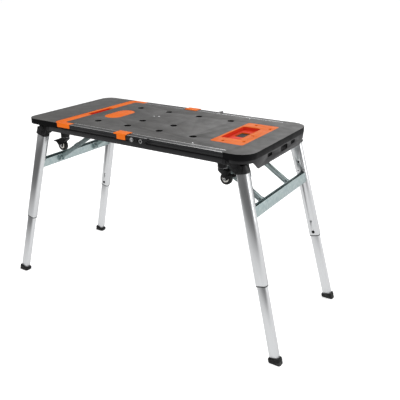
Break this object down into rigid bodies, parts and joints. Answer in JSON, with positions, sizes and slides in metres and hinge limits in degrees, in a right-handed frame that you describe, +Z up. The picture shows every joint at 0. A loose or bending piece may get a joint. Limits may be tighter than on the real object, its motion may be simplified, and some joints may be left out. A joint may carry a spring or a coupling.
{
  "type": "work platform bench",
  "caption": "Folding work platform bench: ribbed plastic deck with clamp holes and tool tray, telescopic splayed legs, pull-out end handle and carry casters.",
  "frame": {"origin": "on the floor, centred between the four feet", "axes": "+X along the bench towards the fixed end with the tool tray, -Y the front, +Z up"},
  "size_m": [1.4476, 0.5986, 0.8006],
  "materials": {
    "deck_plastic": "fine-grained charcoal moulded plastic",
    "black_plastic": "satin black moulded plastic",
    "orange_plastic": "fine-grained orange moulded plastic",
    "black_steel": "black powder coat",
    "zinc_steel": "pale zinc plate",
    "leg_aluminium": "satin anodised, brushed along the tube",
    "rubber": "matt black rubber",
    "button_plastic": "polished black plastic"
  },
  "bodies": {
    "table": {"deck_panel": "deck_plastic", "grip_insert": "orange_plastic", "tool_tray": "orange_plastic", "right_end_apron": "black_plastic", "deck_screws": "zinc_steel", "side_channel_front": "black_steel", "side_channel_back": "black_steel", "cross_members": "black_steel", "end_plates": "black_steel", "brace_guides": "zinc_steel", "leg_brackets": "black_steel", "hinge_pins": "black_steel", "rail_clips": "orange_plastic", "latch_bases": "black_plastic", "caster_mounts": "black_steel"},
    "handle": {"end_slab": "black_plastic", "handle_frame": "orange_plastic", "slide_rail_front": "leg_aluminium", "slide_rail_back": "leg_aluminium"},
    "leg_frame_left": {"upper_leg_front_left": "leg_aluminium", "upper_leg_back_left": "leg_aluminium", "leg_caps_left": "black_plastic", "leg_collars_left": "black_plastic", "leg_gussets_left": "leg_aluminium", "crossbar_left": "zinc_steel"},
    "brace_left": {"brace_left": "zinc_steel"},
    "lower_leg_front_left": {"lower_leg_front_left": "leg_aluminium", "foot_front_left": "rubber"},
    "lock_button_front_left": {"lock_button_front_left": "button_plastic"},
    "lower_leg_back_left": {"lower_leg_back_left": "leg_aluminium", "foot_back_left": "rubber"},
    "lock_button_back_left": {"lock_button_back_left": "button_plastic"},
    "leg_frame_right": {"upper_leg_front_right": "leg_aluminium", "upper_leg_back_right": "leg_aluminium", "leg_caps_right": "black_plastic", "leg_collars_right": "black_plastic", "leg_gussets_right": "leg_aluminium", "crossbar_right": "zinc_steel"},
    "brace_right": {"brace_right": "zinc_steel"},
    "lower_leg_front_right": {"lower_leg_front_right": "leg_aluminium", "foot_front_right": "rubber"},
    "lock_button_front_right": {"lock_button_front_right": "button_plastic"},
    "lower_leg_back_right": {"lower_leg_back_right": "leg_aluminium", "foot_back_right": "rubber"},
    "lock_button_back_right": {"lock_button_back_right": "button_plastic"},
    "latch_lever_front": {"latch_lever_front": "black_plastic"},
    "latch_lever_back": {"latch_lever_back": "black_plastic"},
    "caster_fork_front_left": {"caster_fork_front_left": "black_steel"},
    "caster_wheel_front_left": {"caster_wheel_front_left": "rubber"},
    "brake_pedal_front_left": {"brake_pedal_front_left": "black_steel"},
    "caster_fork_back_left": {"caster_fork_back_left": "black_steel"},
    "caster_wheel_back_left": {"caster_wheel_back_left": "rubber"},
    "brake_pedal_back_left": {"brake_pedal_back_left": "black_steel"},
    "caster_fork_front_right": {"caster_fork_front_right": "black_steel"},
    "caster_wheel_front_right": {"caster_wheel_front_right": "rubber"},
    "brake_pedal_front_right": {"brake_pedal_front_right": "black_steel"},
    "caster_fork_back_right": {"caster_fork_back_right": "black_steel"},
    "caster_wheel_back_right": {"caster_wheel_back_right": "rubber"},
    "brake_pedal_back_right": {"brake_pedal_back_right": "black_steel"}
  },
  "joints": [
    {"name": "handle_slide", "type": "slide", "parent": "table", "child": "handle", "axis": [-1, 0, 0], "range_m": [0, 0.25]},
    {"name": "left_leg_fold", "type": "hinge", "parent": "table", "child": "leg_frame_left", "pos_m": [-0.4953, 0, 0.736], "axis": [0, -1, 0], "range_deg": [0, 102]},
    {"name": "left_brace_turn", "type": "hinge", "parent": "leg_frame_left", "child": "brace_left", "pos_m": [-0.52945, 0, 0.58162], "axis": [0, -1, 0], "range_deg": [-134.7, 0]},
    {"name": "front_left_leg_extend", "type": "slide", "parent": "leg_frame_left", "child": "lower_leg_front_left", "axis": [0.2525, 0.057, 0.9659], "range_m": [0, 0.277]},
    {"name": "front_left_button_press", "type": "slide", "parent": "leg_frame_left", "child": "lock_button_front_left", "axis": [0.0144, -0.9984, 0.0552], "range_m": [0, 0.002], "stiffness_N_per_m": 1500},
    {"name": "back_left_leg_extend", "type": "slide", "parent": "leg_frame_left", "child": "lower_leg_back_left", "axis": [0.2525, -0.057, 0.9659], "range_m": [0, 0.277]},
    {"name": "back_left_button_press", "type": "slide", "parent": "leg_frame_left", "child": "lock_button_back_left", "axis": [0.0144, 0.9984, 0.0552], "range_m": [0, 0.002], "stiffness_N_per_m": 1500},
    {"name": "right_leg_fold", "type": "hinge", "parent": "table", "child": "leg_frame_right", "pos_m": [0.4953, 0, 0.736], "axis": [0, 1, 0], "range_deg": [0, 102]},
    {"name": "right_brace_turn", "type": "hinge", "parent": "leg_frame_right", "child": "brace_right", "pos_m": [0.52945, 0, 0.58162], "axis": [0, 1, 0], "range_deg": [-134.7, 0]},
    {"name": "front_right_leg_extend", "type": "slide", "parent": "leg_frame_right", "child": "lower_leg_front_right", "axis": [-0.2525, 0.057, 0.9659], "range_m": [0, 0.277]},
    {"name": "front_right_button_press", "type": "slide", "parent": "leg_frame_right", "child": "lock_button_front_right", "axis": [-0.0144, -0.9984, 0.0552], "range_m": [0, 0.002], "stiffness_N_per_m": 1500},
    {"name": "back_right_leg_extend", "type": "slide", "parent": "leg_frame_right", "child": "lower_leg_back_right", "axis": [-0.2525, -0.057, 0.9659], "range_m": [0, 0.277]},
    {"name": "back_right_button_press", "type": "slide", "parent": "leg_frame_right", "child": "lock_button_back_right", "axis": [-0.0144, 0.9984, 0.0552], "range_m": [0, 0.002], "stiffness_N_per_m": 1500},
    {"name": "front_latch_turn", "type": "hinge", "parent": "table", "child": "latch_lever_front", "pos_m": [0.084, -0.2807, 0.784], "axis": [0, -1, 0], "range_deg": [0, 70]},
    {"name": "back_latch_turn", "type": "hinge", "parent": "table", "child": "latch_lever_back", "pos_m": [0.084, 0.2807, 0.784], "axis": [0, -1, 0], "range_deg": [0, 70]},
    {"name": "front_left_caster_swivel", "type": "hinge", "parent": "table", "child": "caster_fork_front_left", "pos_m": [-0.406, -0.204, 0.72], "axis": [0, 0, 1], "continuous": true},
    {"name": "front_left_wheel_spin", "type": "hinge", "parent": "caster_fork_front_left", "child": "caster_wheel_front_left", "pos_m": [-0.424, -0.204, 0.674], "axis": [0, -1, 0], "continuous": true},
    {"name": "front_left_brake_press", "type": "hinge", "parent": "caster_fork_front_left", "child": "brake_pedal_front_left", "pos_m": [-0.424, -0.204, 0.674], "axis": [0, -1, 0], "range_deg": [0, 18]},
    {"name": "back_left_caster_swivel", "type": "hinge", "parent": "table", "child": "caster_fork_back_left", "pos_m": [-0.406, 0.204, 0.72], "axis": [0, 0, 1], "continuous": true},
    {"name": "back_left_wheel_spin", "type": "hinge", "parent": "caster_fork_back_left", "child": "caster_wheel_back_left", "pos_m": [-0.424, 0.204, 0.674], "axis": [0, -1, 0], "continuous": true},
    {"name": "back_left_brake_press", "type": "hinge", "parent": "caster_fork_back_left", "child": "brake_pedal_back_left", "pos_m": [-0.424, 0.204, 0.674], "axis": [0, -1, 0], "range_deg": [0, 18]},
    {"name": "front_right_caster_swivel", "type": "hinge", "parent": "table", "child": "caster_fork_front_right", "pos_m": [0.406, -0.204, 0.72], "axis": [0, 0, 1], "continuous": true},
    {"name": "front_right_wheel_spin", "type": "hinge", "parent": "caster_fork_front_right", "child": "caster_wheel_front_right", "pos_m": [0.424, -0.204, 0.674], "axis": [0, 1, 0], "continuous": true},
    {"name": "front_right_brake_press", "type": "hinge", "parent": "caster_fork_front_right", "child": "brake_pedal_front_right", "pos_m": [0.424, -0.204, 0.674], "axis": [0, 1, 0], "range_deg": [0, 18]},
    {"name": "back_right_caster_swivel", "type": "hinge", "parent": "table", "child": "caster_fork_back_right", "pos_m": [0.406, 0.204, 0.72], "axis": [0, 0, 1], "continuous": true},
    {"name": "back_right_wheel_spin", "type": "hinge", "parent": "caster_fork_back_right", "child": "caster_wheel_back_right", "pos_m": [0.424, 0.204, 0.674], "axis": [0, 1, 0], "continuous": true},
    {"name": "back_right_brake_press", "type": "hinge", "parent": "caster_fork_back_right", "child": "brake_pedal_back_right", "pos_m": [0.424, 0.204, 0.674], "axis": [0, 1, 0], "range_deg": [0, 18]}
  ],
  "couplings": [
    {"joint": "left_brace_turn", "follows": "left_leg_fold", "ratio": -1.319},
    {"joint": "right_brace_turn", "follows": "right_leg_fold", "ratio": -1.319}
  ]
}
